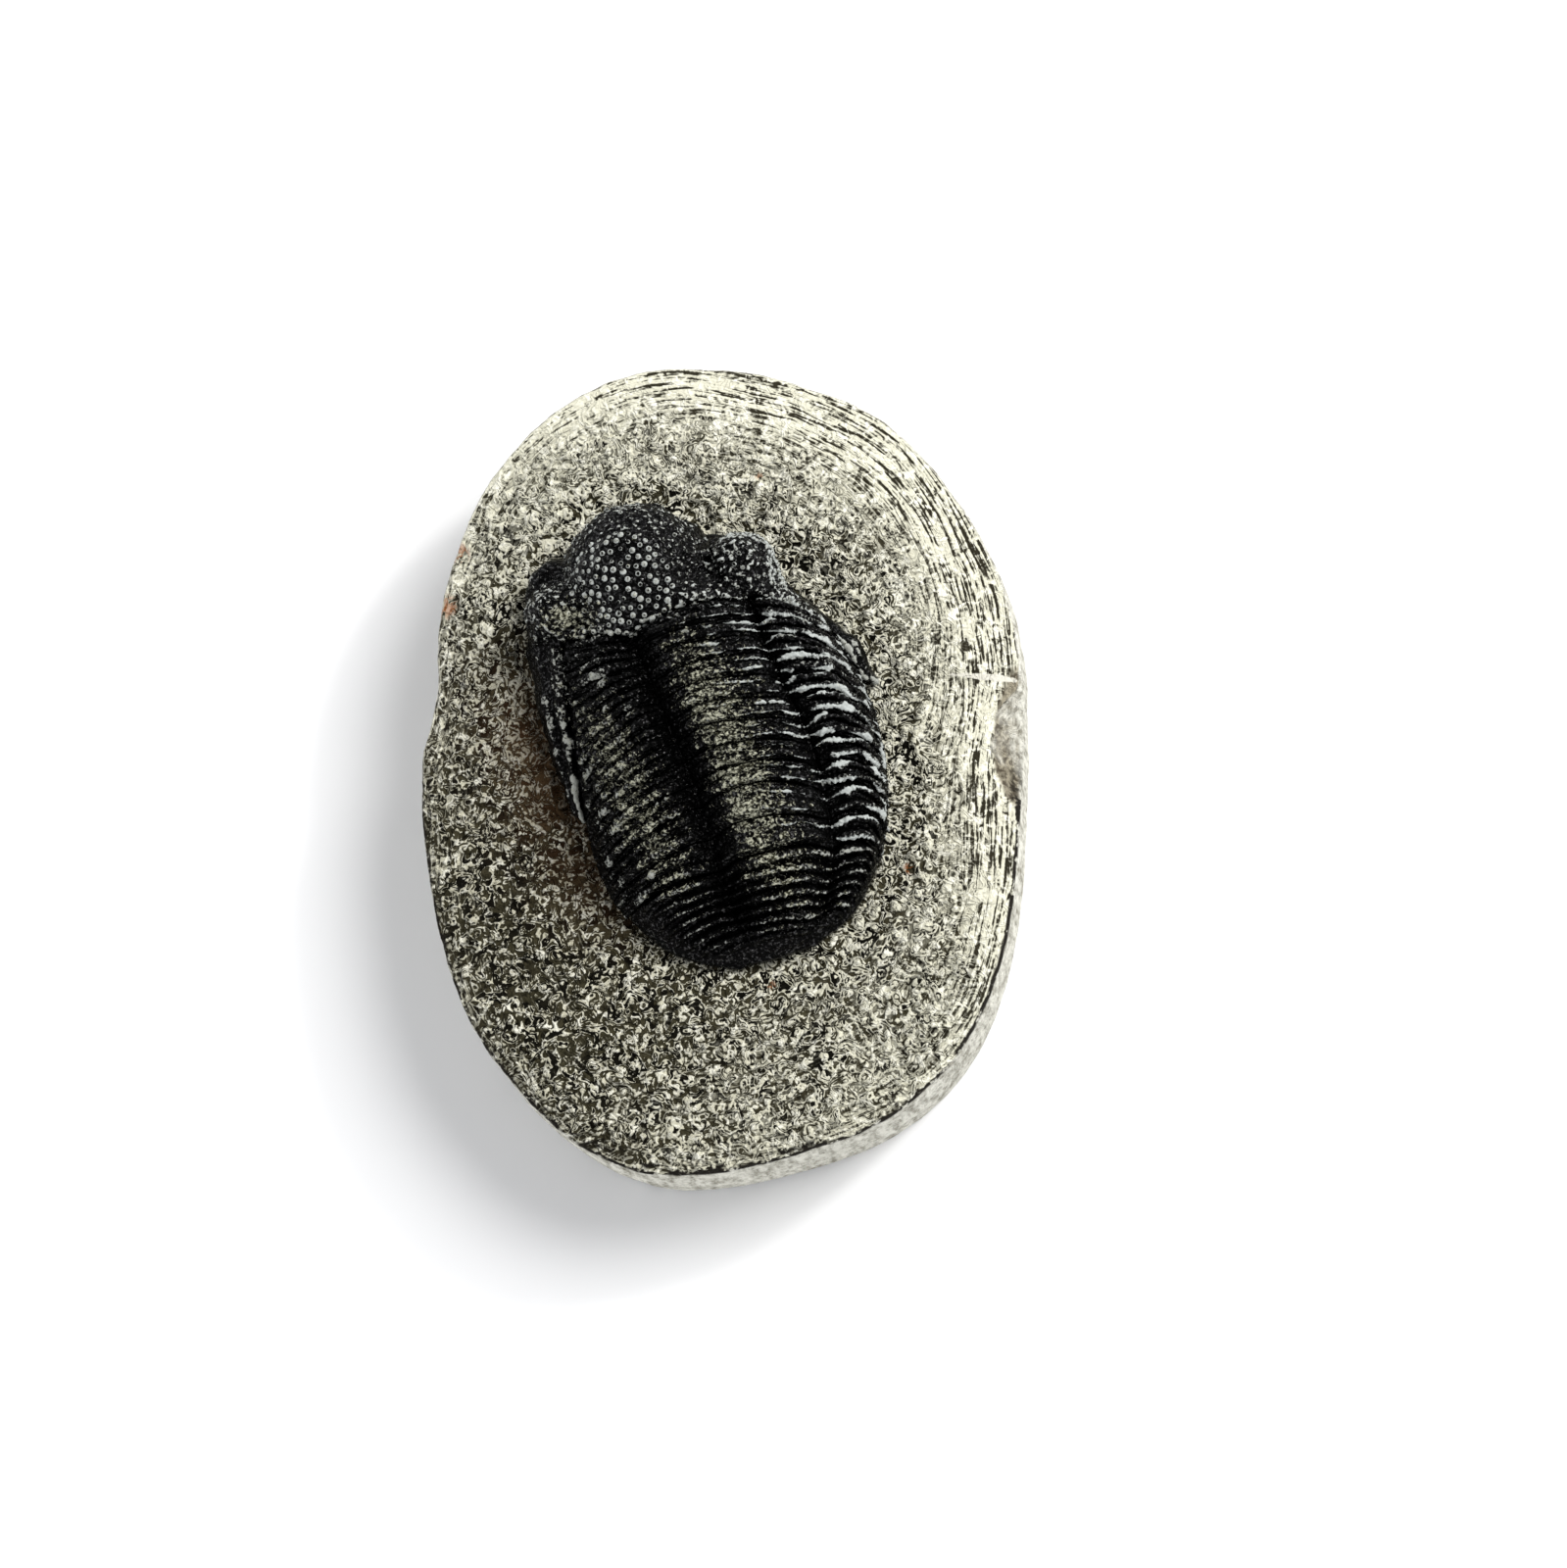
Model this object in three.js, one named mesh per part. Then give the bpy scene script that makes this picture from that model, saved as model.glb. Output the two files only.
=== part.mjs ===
import * as THREE from 'three';

// A phacopid trilobite on an oval slab of ground limestone. Millimetres, +Z up. The head
// points to +Y, the slab lies on z = 0, and the origin is under the middle of the slab.
// Places on the fossil are [x, y, height above the slab's flat top].

// Driving dimensions
const SLAB_TOP = 14; // height of the flat top, on which every plate of the fossil rests
const RINGS = 11; // rings of the thorax
const JOINT = 0.03; // half of the open joint between two rings, as a share of one ring
const HEAD_JOINT = 0.12; // clearance between the head and the plates beside it
const RING_RELIEF = 0.55; // height of a ring's folds on the axis
const RIB_RELIEF = 0.5; // height of the folds of each rib
const TAIL_RINGS = 8; // rings that are fused in the tail
const TAIL_RELIEF = 0.24; // height of its folds
const BASE_LEAN = [0.2, -0.3]; // how far the foot of the slab's wall stands off its rim
const FOOT_ROUND = 0.8; // rounding of the slab's lower edge
const RIM_ROUND = 0.25; // and of its rim
const WALL_SWELL = 0.25; // how far the wall swells out at half its height

// Where the lines below run, counted in rings from the back of the head. The thorax ends
// at 11, and the last two stations are the middle and the tip of the tail.
const STATIONS = [0, 3, 6, 9, 11, 12, 13];
const TAIL_END = STATIONS[STATIONS.length - 1];

const LEFT_MARGIN = [[-12, 9.6, 4], [-11.4, 2.8, 2.5], [-10.5, -3.8, 1.2], [-9.2, -8.4, 0.7],
  [-7.3, -11.2, 0.5], [-3.8, -14.1, 0.5], [1.4, -15.2, 0.5]];
const LEFT_BEND = [[-9.4, 9.5, 6.8], [-8.2, 4.4, 7], [-7.1, -1, 6.9], [-5.9, -6.1, 5.8],
  [-4, -9.6, 4.2], [-1.7, -12.6, 2.3], [2, -14.9, 0.6]];
const LEFT_FURROW = [[-6.5, 9.6, 7.6], [-5, 5.7, 8.2], [-3, 1.2, 8.3], [-1.2, -3.6, 7.5],
  [0.3, -8.1, 5.6], [1.4, -11.6, 3.3], [2.8, -14.8, 0.7]];
const CREST = [[-1.8, 11.3, 9.4], [0.2, 7.2, 10.3], [2, 2.4, 10.6], [3.5, -2.3, 9.8],
  [4.5, -7, 7.7], [4.6, -11, 4.6], [4.5, -14.4, 0.8]];
const RIGHT_FURROW = [[2.5, 12, 7.5], [4.1, 7.4, 8], [6.5, 2.6, 8], [8.1, -2.5, 7.1],
  [8.6, -6.8, 5.2], [7.7, -10.6, 2.9], [5.9, -13.8, 0.7]];
const RIGHT_BEND = [[5.6, 11.7, 6.6], [7.9, 7.8, 7], [10, 3.2, 6.8], [11.2, -1.8, 5.7],
  [11.2, -6, 4], [9.8, -9.8, 2.2], [6.6, -13.5, 0.6]];
const RIGHT_MARGIN = [[8.4, 10.5, 2], [11.2, 5.9, 1], [12.4, 1.3, 0.6], [12.6, -3.4, 0.5],
  [11.9, -7.4, 0.5], [10.1, -11, 0.5], [7.1, -13.4, 0.5]];

// The head's edge, from the tip of the left cheek round the front to the right cheek's tip
const HEAD_EDGE = [[-11.5, -2.9], [-12.7, 0.2], [-13.8, 3.8], [-14.7, 7.7], [-15.2, 11.5],
  [-15.1, 13.8], [-14.1, 15.4], [-12.8, 16.4], [-11.6, 18.3], [-9.5, 19.8], [-6.8, 20.5],
  [-4.1, 19.8], [-2.1, 18.6], [-0.3, 18.4], [1.9, 17.9], [3.6, 16.4], [4.7, 14.4], [7.9, 12.2],
  [10.4, 9.6], [11.9, 6.8]];
const EDGE_HEIGHT = 0.5;
const LEAST_HEIGHT = 0.3; // no plate's edge is thinner than this
const LEFT_CHEEK_END = 6; // the ring beside which the left cheek's tip lies
const RIGHT_CHEEK_END = 2.4; // and the right cheek's tip

// The shares of that edge which lie opposite the left margin, the furrows and the right margin
const EDGE_SHARES = [0.235, 0.405, 0.645, 0.885];

// Domes of the head: centre, half widths, turn in degrees, height, how flat the top is, the
// depth of the groove inside the rim, and how wide the crease at the foot is rounded
const GLABELLA = { at: [-6.2, 14.3], half: [5.9, 6.4], turn: 18, top: 9.6, flat: 2.8, groove: 0,
  crease: 0.6 };
const RIGHT_EYE = { at: [1.9, 14.6], half: [2.8, 3.3], turn: 15, top: 8.6, flat: 5, groove: 0.5,
  crease: 0.4 };
const LEFT_EYE = { at: [-12.4, 11.9], half: [2.7, 2.5], turn: 20, top: 6.9, flat: 4, groove: 0.4,
  crease: 0.5 };
const LEFT_FRONT_CHEEK = { at: [-13.5, 14.6], half: [1.9, 2.4], turn: -30, top: 3.4, flat: 2,
  groove: 0, crease: 0.7 };
const GROOVE = { at: 0.68, half: 0.12 }; // where an eye's groove lies between centre and rim

// The ring and the furrow in front of the thorax, by distance from the head's back edge, and
// how far the shell sinks in front of them
const NECK = { ring: 1.1, rise: 0.35, furrow: 1.9, depth: 1.3, half: 0.55, sink: 0.4 };
const CHEEK_BORDER = { ring: 0.7, rise: 0.4, furrow: 1.5, depth: 0.9, half: 0.55, sink: 0.35 };

// The slab's rim, seen from above
const SLAB_EDGE = [[-2, 32.4], [4.2, 31.4], [11.8, 28.3], [16.6, 23.5], [19.9, 18.5], [22, 13.4],
  [22.8, 8.6], [22.9, 2.8], [22.7, -2.8], [22.4, -7.8], [21.6, -12.8], [19.8, -18.4], [16.8, -23],
  [11.8, -26.9], [6, -29.1], [0.5, -30.4], [-4.7, -30.8], [-9.6, -29.3], [-14.6, -25.4],
  [-19, -19.8], [-21.6, -13.4], [-23.2, -4.8], [-23.4, 1.2], [-22.3, 6.7], [-22.3, 11.6],
  [-20.8, 18.2], [-17.8, 24.4], [-12.8, 29.4], [-7.6, 31.9]];

// The ground bevel inside the rim, by compass angle from +X: its width and its drop
const BEVEL = { least: 2.4, most: 10, widest: 38, share: 0.17 };
const CHIP = { angle: 5, spread: 9, drop: 3 }; // a broken flake on the right of the rim

const STEPS = { pleura: 10, axis: 12, ring: 9, tail: 44, head: 24, cheekTip: 12, slab: 72 };

const turn = THREE.MathUtils.degToRad;
const smooth = (x, from, to) => THREE.MathUtils.smoothstep(x, from, to);
const mix = THREE.MathUtils.lerp;

function guide(points) {
  return new THREE.CatmullRomCurve3(points.map(([x, y, h]) => new THREE.Vector3(x, y, h)));
}

const GUIDES = [LEFT_MARGIN, LEFT_BEND, LEFT_FURROW, CREST, RIGHT_FURROW, RIGHT_BEND,
  RIGHT_MARGIN].map(guide);

// The point of a guide line beside ring position s
function along(line, s) {
  let span = 0;
  while (span < STATIONS.length - 2 && s > STATIONS[span + 1]) span += 1;
  const part = (s - STATIONS[span]) / (STATIONS[span + 1] - STATIONS[span]);
  return line.getPoint((span + part) / (STATIONS.length - 1));
}

// A pleura is an arc from the furrow through the bend to the margin, for u from 0 to 1
function pleuraPoint(furrow, bend, margin, u) {
  const pull = bend.clone().multiplyScalar(2);
  pull.addScaledVector(furrow, -0.5).addScaledVector(margin, -0.5);
  return new THREE.QuadraticBezierCurve3(furrow, pull, margin).getPoint(u);
}

// The axis is an arch between the two furrows, steepest beside them
function axisPoint(left, crest, right, u) {
  const chord = left.clone().lerp(right, u);
  const middle = left.clone().lerp(right, 0.5);
  const rise = Math.sin(Math.PI * u) ** 0.7;
  return chord.addScaledVector(crest.clone().sub(middle), rise);
}

// The unfolded shell at ring position s and place v across it: 0 is the left margin, 1 the
// left furrow, 2 the right furrow and 3 the right margin
function shellPoint(s, v) {
  const [leftMargin, leftBend, leftFurrow, crest, rightFurrow, rightBend, rightMargin] =
    GUIDES.map((line) => along(line, s));
  if (v < 1) return pleuraPoint(leftFurrow, leftBend, leftMargin, 1 - v);
  if (v > 2) return pleuraPoint(rightFurrow, rightBend, rightMargin, v - 2);
  return axisPoint(leftFurrow, crest, rightFurrow, v - 1);
}

function shellNormal(s, v) {
  const step = 0.02;
  const s0 = Math.max(0, s - step);
  const v0 = v < 1 ? Math.max(0, v - step) : Math.max(v > 2 ? 2.0001 : 1, v - step);
  const v1 = v < 1 ? Math.min(0.9999, v + step) : Math.min(v > 2 ? 3 : 2, v + step);
  const back = shellPoint(Math.min(TAIL_END, s + step), v).sub(shellPoint(s0, v));
  const across = shellPoint(s, v1).sub(shellPoint(s, v0));
  return back.cross(across).normalize();
}

// Places across the shell, closer together beside the furrows
function acrossSteps() {
  const { pleura, axis } = STEPS;
  const steps = [];
  for (let i = 0; i < pleura; i += 1) steps.push(Math.sin((Math.PI / 2) * (i / pleura)));
  for (let i = 0; i < axis; i += 1) steps.push(1.5 - 0.5 * Math.cos(Math.PI * (i / axis)));
  for (let i = 0; i <= pleura; i += 1) steps.push(3 - Math.cos((Math.PI / 2) * (i / pleura)));
  return steps;
}

// A fold is a rounded crest at share u of the ring, of the given height and half width
const fold = (u, at, height, half) => height * Math.exp(-(((u - at) / half) ** 2));

// On the axis a low half ring lies in front of the broad ring, for u from the front edge
// (0) to the back edge (1)
const ringFold = (u) => fold(u, 0.14, 0.45, 0.09) + fold(u, 0.62, 1, 0.26) - 0.45;

// A rib has a low front band and a high back band, with a sharp furrow between them
const ribFold = (u) => fold(u, 0.24, 0.75, 0.12) + fold(u, 0.7, 1, 0.14) - 0.5;

// Height of the folds on the thorax; they die out in the furrows and at the margins
function thoraxRelief(s, v) {
  const u = s - Math.floor(s);
  const off = Math.max(1 - v, v - 2, 0);
  const besideFurrow = Math.min(Math.abs(v - 1), Math.abs(v - 2));
  if (off === 0) return RING_RELIEF * smooth(besideFurrow, 0, 0.08) * ringFold(u);
  return RIB_RELIEF * smooth(off, 0, 0.12) * (1 - smooth(off, 0.8, 1)) * ribFold(u);
}

// The tail's folds fade to a smooth border at its sides and its tip
function tailRelief(s, v) {
  const back = (s - RINGS) / (TAIL_END - RINGS);
  const wave = Math.cos(2 * Math.PI * (back * (TAIL_RINGS + 1.5) - 0.5));
  const off = Math.max(1 - v, v - 2, 0);
  const fade = (1 - smooth(back, 0.62, 0.9)) * (1 - smooth(off, 0.6, 0.9));
  return TAIL_RELIEF * fade * (wave + 0.2) - 0.1 * (1 - fade);
}

function foldedPoint(s, v, relief) {
  const place = shellPoint(s, v).addScaledVector(shellNormal(s, v), relief);
  place.z = Math.max(place.z, LEAST_HEIGHT);
  return place;
}

// A closed plate: a grid of top points, walls straight down from its edge, and a flat foot
// on the slab's top
function plate(rows) {
  const across = rows[0].length;
  const lastRow = rows.length - 1;
  const lastColumn = across - 1;
  const points = [];
  const faces = [];
  rows.flat().forEach((p) => points.push([p.x, p.y, SLAB_TOP + p.z]));
  const at = (row, column) => row * across + column;
  for (let row = 0; row < lastRow; row += 1) {
    for (let column = 0; column < lastColumn; column += 1) {
      const corner = at(row, column);
      faces.push([corner, at(row + 1, column), at(row + 1, column + 1)]);
      faces.push([corner, at(row + 1, column + 1), at(row, column + 1)]);
    }
  }
  const loop = [];
  for (let row = 0; row < lastRow; row += 1) loop.push(at(row, 0));
  for (let column = 0; column < lastColumn; column += 1) loop.push(at(lastRow, column));
  for (let row = lastRow; row > 0; row -= 1) loop.push(at(row, lastColumn));
  for (let column = lastColumn; column > 0; column -= 1) loop.push(at(0, column));
  const below = new Map();
  loop.forEach((index) => {
    below.set(index, points.length);
    points.push([points[index][0], points[index][1], SLAB_TOP]);
  });
  loop.forEach((index, i) => {
    const next = loop[(i + 1) % loop.length];
    faces.push([index, below.get(index), below.get(next)], [index, below.get(next), next]);
  });
  footTriangles(lastRow, lastColumn).forEach((corners) => {
    faces.push(corners.map(([row, column]) => below.get(at(row, column))).reverse());
  });
  return closedGeometry(points, faces);
}

// The foot's triangles by row and column, seen from above: strips from the first row to the
// last, and a fan over the edge column at each end
function footTriangles(lastRow, lastColumn) {
  const triangles = [];
  for (let row = 0; row < lastRow; row += 1) {
    triangles.push([[0, 1], [row, 0], [row + 1, 0]]);
    triangles.push([[0, lastColumn - 1], [row + 1, lastColumn], [row, lastColumn]]);
  }
  triangles.push([[0, 1], [lastRow, 0], [lastRow, 1]]);
  triangles.push([[0, lastColumn - 1], [lastRow, lastColumn - 1], [lastRow, lastColumn]]);
  for (let column = 1; column < lastColumn - 1; column += 1) {
    triangles.push([[0, column], [lastRow, column], [lastRow, column + 1]]);
    triangles.push([[0, column], [lastRow, column + 1], [0, column + 1]]);
  }
  return triangles;
}

function closedGeometry(points, faces) {
  const geometry = new THREE.BufferGeometry();
  geometry.setAttribute('position', new THREE.Float32BufferAttribute(points.flat(), 3));
  geometry.setIndex(faces.flat());
  geometry.computeVertexNormals();
  return geometry;
}

function thoraxRing(number) {
  const rows = [];
  for (let i = 0; i <= STEPS.ring; i += 1) {
    const s = mix(number - 1 + JOINT, number - JOINT, i / STEPS.ring);
    rows.push(acrossSteps().map((v) => foldedPoint(s, v, thoraxRelief(s, v))));
  }
  return plate(rows);
}

function tail() {
  const rows = [];
  for (let i = 0; i <= STEPS.tail; i += 1) {
    const s = mix(RINGS + JOINT, TAIL_END, i / STEPS.tail);
    rows.push(acrossSteps().map((v) => foldedPoint(s, v, tailRelief(s, v))));
  }
  return plate(rows);
}

// Height of a dome at (x, y); outside its foot it falls away steeply
function domeHeight({ at, half, turn: degrees, top, flat, groove }, x, y) {
  const centre = new THREE.Vector2(...at);
  const local = new THREE.Vector2(x, y).rotateAround(centre, -turn(degrees)).sub(centre);
  const reach = Math.hypot(local.x / half[0], local.y / half[1]);
  if (reach >= 1) return -3 * top * (reach - 1);
  return top * Math.sqrt(1 - reach ** flat) - fold(reach, GROOVE.at, groove, GROOVE.half);
}

// The higher of two heights, with the crease between them rounded
function blendUp(a, b, round) {
  const h = Math.max(round - Math.abs(a - b), 0) / round;
  return Math.max(a, b) + (h * h * round) / 4;
}

// The back edge of the head, from the left cheek's tip to the right cheek's tip, with the
// share of the head's edge that lies opposite each point and the place v across the shell
function headColumns() {
  const columns = [];
  const [first, , , last] = EDGE_SHARES;
  const beside = (line, s, side) => along(line, s).add(new THREE.Vector3(side * HEAD_JOINT, 0, 0));
  const add = (inner, edge, v) => columns.push({ inner, edge, v });
  for (let i = 0; i < STEPS.cheekTip; i += 1) {
    const u = i / STEPS.cheekTip;
    add(beside(GUIDES[0], LEFT_CHEEK_END * (1 - u), -1), first * u, 0);
  }
  const front = new THREE.Vector3(-0.05, HEAD_JOINT, 0);
  acrossSteps().forEach((v) => {
    const part = Math.min(2, Math.floor(v));
    add(shellPoint(0, v).add(front), mix(EDGE_SHARES[part], EDGE_SHARES[part + 1], v - part), v);
  });
  for (let i = 1; i <= STEPS.cheekTip / 2; i += 1) {
    const u = i / (STEPS.cheekTip / 2);
    add(beside(GUIDES[6], RIGHT_CHEEK_END * u, 1), mix(last, 1, u), 3);
  }
  return columns;
}

// A border's rise and furrow, and the sunken shell in front of them, at a distance from the
// head's back edge
function bordered(height, { ring, rise, furrow, depth, half, sink }, away, strength) {
  const folded = fold(away, ring, rise * strength, half) - fold(away, furrow, depth * strength, half);
  return (height + folded) * (1 - sink * smooth(away, furrow * 0.8, 4));
}

// Height of the head's top at (x, y), a share u of the way out from its back edge
function headHeight(x, y, inner, u, v) {
  const away = Math.hypot(x - inner.x, y - inner.y);
  let height = EDGE_HEIGHT + (inner.z - EDGE_HEIGHT) * (1 - u ** 1.7) ** 0.9;
  if (v > 1 && v < 2) {
    height = bordered(height, NECK, away, Math.sqrt(Math.sin(Math.PI * (v - 1))));
  } else if (v > 0 && v < 3) {
    height = bordered(height, CHEEK_BORDER, away, 1);
  } else {
    height += fold(u, 0.2, 0.5, 0.14) - fold(u, 0.45, 0.3, 0.1) + fold(u, 0.75, 0.4, 0.16);
  }
  for (const dome of [GLABELLA, RIGHT_EYE, LEFT_EYE, LEFT_FRONT_CHEEK]) {
    height = blendUp(height, domeHeight(dome, x, y), dome.crease);
  }
  return height;
}

function head() {
  const edge = guide(HEAD_EDGE.map(([x, y]) => [x, y, EDGE_HEIGHT]));
  const columns = headColumns();
  const rows = [];
  for (let i = 0; i <= STEPS.head; i += 1) {
    const u = Math.sin((Math.PI / 2) * (1 - i / STEPS.head)); // closest at the outer edge
    rows.push(columns.map(({ inner, edge: share, v }) => {
      const place = inner.clone().lerp(edge.getPointAt(share), u);
      place.z = Math.max(EDGE_HEIGHT, headHeight(place.x, place.y, inner, u, v));
      return place;
    }));
  }
  return plate(rows);
}

// Width of the ground bevel at a compass angle in degrees
function bevelWidth(angle) {
  const away = Math.cos(turn(angle - BEVEL.widest));
  return mix(BEVEL.least, BEVEL.most, smooth(away, -0.4, 1));
}

function chipDrop(angle) {
  return CHIP.drop * Math.exp(-(((angle - CHIP.angle) / CHIP.spread) ** 4));
}

function slab() {
  const rim = guide(SLAB_EDGE.map(([x, y]) => [x, y, 0]));
  rim.closed = true;
  const box = new THREE.Box3().setFromPoints(rim.getSpacedPoints(STEPS.slab));
  const middle = box.getCenter(new THREE.Vector3());
  const points = [];
  const faces = [];
  const ring = (place) => {
    for (let i = 0; i < STEPS.slab; i += 1) {
      const edge = rim.getPointAt(1 - i / STEPS.slab);
      const out = edge.clone().sub(middle);
      const angle = THREE.MathUtils.radToDeg(Math.atan2(out.y, out.x));
      const { inset, z, lean } = place(angle, out.length());
      const at = middle.clone().addScaledVector(out, 1 - inset / out.length());
      points.push([at.x + BASE_LEAN[0] * lean, at.y + BASE_LEAN[1] * lean, z]);
    }
  };
  const rimHeight = (angle) => SLAB_TOP - BEVEL.share * bevelWidth(angle) - chipDrop(angle);
  ring(() => ({ inset: FOOT_ROUND, z: 0, lean: 1 }));
  ring(() => ({ inset: FOOT_ROUND * 0.25, z: FOOT_ROUND * 0.25, lean: 1 }));
  ring(() => ({ inset: 0, z: FOOT_ROUND, lean: 1 }));
  ring((angle) => ({ inset: -WALL_SWELL, z: mix(FOOT_ROUND, rimHeight(angle), 0.5), lean: 0.5 }));
  ring((angle) => ({ inset: 0, z: rimHeight(angle) - 2 * RIM_ROUND, lean: 0 }));
  ring((angle) => ({ inset: RIM_ROUND, z: rimHeight(angle), lean: 0 }));
  for (const share of [0.25, 0.5, 0.75, 1]) {
    ring((angle) => {
      const width = bevelWidth(angle);
      const fall = BEVEL.share * width * (1 - share) ** 1.4;
      return { inset: RIM_ROUND + width * share, z: SLAB_TOP - fall, lean: 0 };
    });
  }
  for (const share of [0.78, 0.5, 0.25]) {
    ring((angle, reach) => {
      const inset = reach - (reach - bevelWidth(angle) - RIM_ROUND) * share;
      return { inset, z: SLAB_TOP, lean: 0 };
    });
  }
  const rings = points.length / STEPS.slab;
  for (let r = 0; r < rings - 1; r += 1) {
    for (let i = 0; i < STEPS.slab; i += 1) {
      const a = r * STEPS.slab + i;
      const b = r * STEPS.slab + ((i + 1) % STEPS.slab);
      faces.push([a, b, b + STEPS.slab], [a, b + STEPS.slab, a + STEPS.slab]);
    }
  }
  const under = points.length;
  points.push([middle.x + BASE_LEAN[0], middle.y + BASE_LEAN[1], 0]);
  points.push([middle.x, middle.y, SLAB_TOP]);
  const last = (rings - 1) * STEPS.slab;
  for (let i = 0; i < STEPS.slab; i += 1) {
    const next = (i + 1) % STEPS.slab;
    faces.push([next, i, under], [last + i, last + next, under + 1]);
  }
  return closedGeometry(points, faces);
}

const shell = new THREE.MeshStandardMaterial({ color: 0x1b1c1b, roughness: 0.4, metalness: 0 });
const limestone = new THREE.MeshStandardMaterial({ color: 0xa9a690, roughness: 0.9, metalness: 0 });

function named(name, geometry, material) {
  const mesh = new THREE.Mesh(geometry, material);
  mesh.name = name;
  return mesh;
}

const specimen = new THREE.Group();
specimen.add(named('matrix_slab', slab(), limestone));
specimen.add(named('cephalon', head(), shell));
for (let number = 1; number <= RINGS; number += 1) {
  const name = `thoracic_segment_${String(number).padStart(2, '0')}`;
  specimen.add(named(name, thoraxRing(number), shell));
}
specimen.add(named('pygidium', tail(), shell));

// Bring the middle of the slab's box over the origin
const slabBox = new THREE.Box3().setFromObject(specimen);
const slabMiddle = slabBox.getCenter(new THREE.Vector3());
specimen.position.set(-slabMiddle.x, -slabMiddle.y, 0);

const fossil = new THREE.Group();
fossil.add(specimen);

export default fossil;
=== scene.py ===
import math
import random

import bpy
import numpy as np
from mathutils import Matrix, Vector, kdtree, noise
from mathutils.bvhtree import BVHTree


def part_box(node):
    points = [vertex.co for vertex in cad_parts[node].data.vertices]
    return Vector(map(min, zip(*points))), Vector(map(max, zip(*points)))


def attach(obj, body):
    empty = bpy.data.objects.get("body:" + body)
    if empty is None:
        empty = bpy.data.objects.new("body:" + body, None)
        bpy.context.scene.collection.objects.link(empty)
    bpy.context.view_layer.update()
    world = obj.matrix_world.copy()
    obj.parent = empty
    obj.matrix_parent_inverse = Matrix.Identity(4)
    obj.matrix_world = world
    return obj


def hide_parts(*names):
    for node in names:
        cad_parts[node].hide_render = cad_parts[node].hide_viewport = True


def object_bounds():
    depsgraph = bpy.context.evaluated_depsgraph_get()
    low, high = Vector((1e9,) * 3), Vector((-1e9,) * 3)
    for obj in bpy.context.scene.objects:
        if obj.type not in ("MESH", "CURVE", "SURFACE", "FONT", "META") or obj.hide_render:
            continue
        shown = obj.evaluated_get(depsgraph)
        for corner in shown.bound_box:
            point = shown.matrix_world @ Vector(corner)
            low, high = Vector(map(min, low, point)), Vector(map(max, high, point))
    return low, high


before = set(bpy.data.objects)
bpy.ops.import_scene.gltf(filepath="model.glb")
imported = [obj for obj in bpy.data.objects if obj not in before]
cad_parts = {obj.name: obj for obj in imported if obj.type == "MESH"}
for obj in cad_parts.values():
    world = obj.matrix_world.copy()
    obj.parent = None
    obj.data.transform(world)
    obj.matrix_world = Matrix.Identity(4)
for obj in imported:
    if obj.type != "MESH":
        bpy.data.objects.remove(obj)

# A black trilobite on its ground limestone slab. The head points to +Y, the slab lies on z = 0.

MM = 0.001
CAD_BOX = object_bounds()
SLAB_LOW, SLAB_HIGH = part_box("matrix_slab")
SLAB_SIZE = SLAB_HIGH - SLAB_LOW
SLAB_MIDDLE = (SLAB_LOW + SLAB_HIGH) / 2
HEAD_LOW, HEAD_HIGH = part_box("cephalon")
ROCK_TOP = HEAD_LOW.z                       # the fossil stands on the slab's top face
FOOT_LEVEL = ROCK_TOP + 0.01 * MM           # what lies lower is a plate's foot
FORWARDS = (-0.37, 0.93)                    # the way the fossil faces, seen from above
RINGS = sorted(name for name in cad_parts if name.startswith("thoracic_segment"))

# How finely the pieces are divided
SLAB_VOXEL = 0.285 * MM
HEAD_VOXEL = 0.15 * MM
RING_LEVELS = 3
TAIL_LEVELS = 2

SHELL_FOOT = 1.2 * MM                       # how deep the shell reaches into the rock
RIM_BIN = 2                                 # degrees, for finding the rim around the slab

# The furrows beside the axis, in shares of the slab's box
LEFT_FURROW = ((0.362, 0.646), (0.402, 0.575), (0.452, 0.495), (0.5, 0.4), (0.533, 0.32))
RIGHT_FURROW = ((0.557, 0.678), (0.591, 0.606), (0.642, 0.53),
                (0.676, 0.452), (0.687, 0.385), (0.668, 0.325))

# Places on the head, in shares of its box
GLABELLA = (0.335, 0.74)
RIGHT_EYE = (0.625, 0.747)
LEFT_EYE = (0.12, 0.64)

TUBERCLE_GAP, SMALL_TUBERCLE_GAP = 0.56 * MM, 0.66 * MM
LENS_ROWS, LENSES_IN_ROW = 6, 24
LENS_START, LENS_RISE = 3.6, 0.62           # mm over the rock, and from row to row
LENS_FIRST, LENS_STEP = -38, 6.8            # degrees, around the eye
EYE_REACH = 9 * MM                          # lenses are looked for from this far outside

# Camera and lights
CAMERA_AIM = (4.8 * MM, -1.55 * MM)         # beside the slab's middle
CAMERA_TILT = (4, 9)                        # degrees from upright, to the right and to the front
CAMERA_AWAY = 330 * MM
CAMERA_LENS = 99
FLOOR_WIDTH = 4
SKY_AT_HORIZON, SKY_ABOVE = 2.05, 0.06      # strength


# Mesh tools

def only(piece):
    """Leaves this piece the only one selected, in object mode."""
    if bpy.context.object and bpy.context.object.mode != "OBJECT":
        bpy.ops.object.mode_set(mode="OBJECT")
    bpy.ops.object.select_all(action="DESELECT")
    piece.select_set(True)
    bpy.context.view_layer.objects.active = piece


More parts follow.
